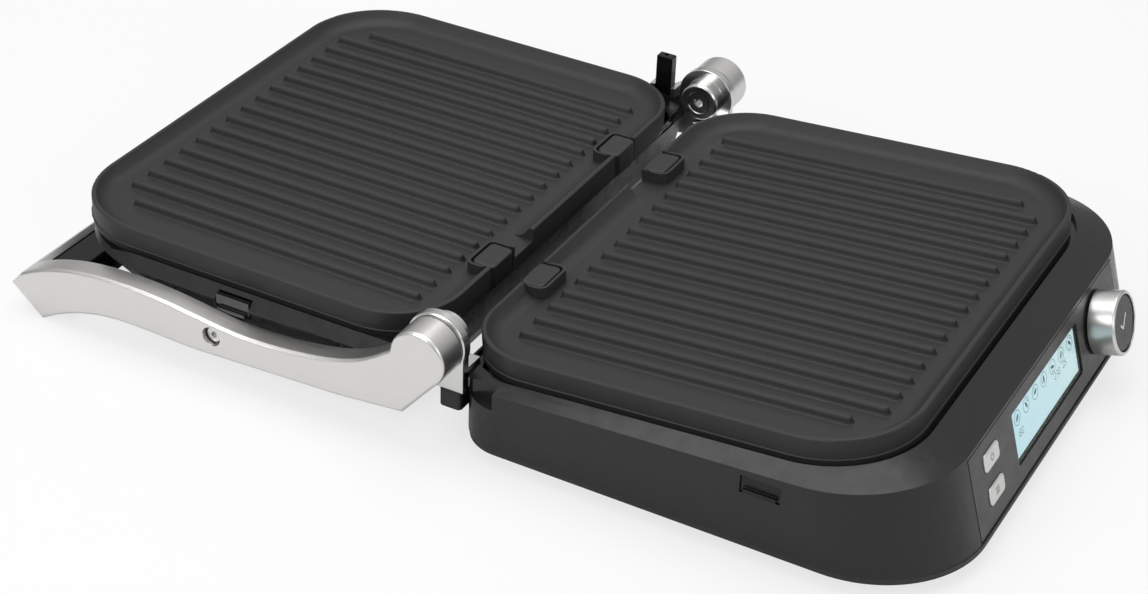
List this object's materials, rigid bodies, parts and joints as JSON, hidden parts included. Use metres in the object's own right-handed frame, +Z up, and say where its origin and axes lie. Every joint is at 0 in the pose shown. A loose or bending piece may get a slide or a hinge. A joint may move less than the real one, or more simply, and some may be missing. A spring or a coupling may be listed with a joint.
{
  "type": "contact grill",
  "caption": "Folding electric contact grill shown opened flat, with ribbed lift-out plates, a rocking lid on a hinged handle frame and a front control panel.",
  "frame": {"origin": "on the table, under the middle of the opened grill's bounding box", "axes": "+X to the right of a user who faces the control panel, +Y from the panel towards the opened lid, +Z up"},
  "size_m": [0.338, 0.5327, 0.0735],
  "materials": {
    "non_stick": "matt non-stick coating with a fine grain",
    "housing_plastic": "satin black moulded plastic",
    "cover_plastic": "matt black moulded plastic",
    "lid_cover_metal": "brushed steel",
    "arm_metal": "bead-blasted, satin silver",
    "bracket_metal": "polished",
    "bolt_steel": "zinc-plated steel",
    "trim_plastic": "satin black",
    "hook_metal": "dark grey enamel",
    "tray_steel": "pressed sheet, half bright",
    "heater_steel": "heat-darkened steel tube",
    "clip_steel": "stamped bright steel",
    "panel_plastic": "warm dark grey fascia",
    "window_glass": "clear window",
    "display_glow": "pale backlit display",
    "board_green": "circuit board",
    "knob_metal": "turned satin metal",
    "shaft_metal": "machined",
    "ok_black": "satin black",
    "button_metal": "satin silver",
    "foot_rubber": "soft black rubber"
  },
  "bodies": {
    "base": {"base_housing": "housing_plastic", "base_bottom_cover": "cover_plastic", "base_cover_screws": "bolt_steel", "rubber_feet": "foot_rubber", "control_panel": "panel_plastic", "display_window": "window_glass", "display_module": "display_glow", "control_board": "board_green", "encoder_body": "board_green", "lower_reflector_tray": "tray_steel", "lower_heating_element": "heater_steel", "lower_heater_clips": "clip_steel", "lower_thermostat": "clip_steel", "lower_plate_hooks": "hook_metal", "hinge_bracket_right": "bracket_metal", "hinge_bracket_left": "bracket_metal", "bracket_screws": "bolt_steel", "cord_gland": "cover_plastic"},
    "lid_frame": {"arm_right": "arm_metal", "arm_left": "arm_metal", "handle_bar": "arm_metal", "handle_grip": "trim_plastic", "hinge_bolt_right": "bolt_steel", "hinge_bolt_left": "bolt_steel", "pivot_screw_right": "bolt_steel", "pivot_screw_left": "bolt_steel"},
    "lid": {"lid_housing": "housing_plastic", "lid_cover": "lid_cover_metal", "lid_cover_screws": "bolt_steel", "upper_reflector_tray": "tray_steel", "upper_heating_element": "heater_steel", "upper_heater_clips": "clip_steel", "upper_thermostat": "clip_steel", "upper_plate_hooks": "hook_metal"},
    "lower_plate": {"lower_grill_plate": "non_stick"},
    "upper_plate": {"upper_grill_plate": "non_stick"},
    "knob": {"selector_knob": "knob_metal", "encoder_shaft": "shaft_metal"},
    "ok_button": {"ok_button": "ok_black"},
    "power_button": {"power_button": "button_metal"},
    "mode_button": {"mode_button": "button_metal"},
    "lower_latch": {"lower_plate_latch": "trim_plastic"},
    "upper_latch": {"upper_plate_latch": "trim_plastic"},
    "release_plunger": {"hinge_plunger": "trim_plastic"},
    "drip_tray": {"drip_tray": "cover_plastic"}
  },
  "joints": [
    {"name": "lid_hinge", "type": "hinge", "parent": "base", "child": "lid_frame", "pos_m": [0, 0.01546, 0.057], "axis": [1, 0, 0], "range_deg": [0, 175.5]},
    {"name": "lid_float", "type": "hinge", "parent": "lid_frame", "child": "lid", "pos_m": [0, 0.13686, 0.0279], "axis": [-1, 0, 0], "range_deg": [-5, 0]},
    {"name": "lower_plate_lift", "type": "slide", "parent": "base", "child": "lower_plate", "axis": [0, -0.0785, -0.9969], "range_m": [-0.06, 0]},
    {"name": "upper_plate_lift", "type": "slide", "parent": "lid", "child": "upper_plate", "axis": [0, 0, -1], "range_m": [-0.06, 0]},
    {"name": "knob_turn", "type": "hinge", "parent": "base", "child": "knob", "pos_m": [0.0725, -0.24694, 0.03512], "axis": [0, -0.9583, 0.2859], "continuous": true},
    {"name": "ok_press", "type": "slide", "parent": "base", "child": "ok_button", "axis": [0, 0.9583, -0.2859], "range_m": [0, 0.001], "stiffness_N_per_m": 300},
    {"name": "power_press", "type": "slide", "parent": "base", "child": "power_button", "axis": [0, 0.9583, -0.2859], "range_m": [0, 0.001], "stiffness_N_per_m": 300},
    {"name": "mode_press", "type": "slide", "parent": "base", "child": "mode_button", "axis": [0, 0.9583, -0.2859], "range_m": [0, 0.001], "stiffness_N_per_m": 300},
    {"name": "lower_latch_press", "type": "slide", "parent": "base", "child": "lower_latch", "axis": [1, 0, 0], "range_m": [0, 0.002], "stiffness_N_per_m": 400},
    {"name": "upper_latch_press", "type": "slide", "parent": "lid", "child": "upper_latch", "axis": [1, 0, 0], "range_m": [0, 0.002], "stiffness_N_per_m": 400},
    {"name": "hinge_release", "type": "slide", "parent": "lid_frame", "child": "release_plunger", "axis": [0, 0, -1], "range_m": [0, 0.0025], "stiffness_N_per_m": 400},
    {"name": "drip_tray_slide", "type": "slide", "parent": "base", "child": "drip_tray", "axis": [-1, 0, 0], "range_m": [0, 0.2]}
  ]
}
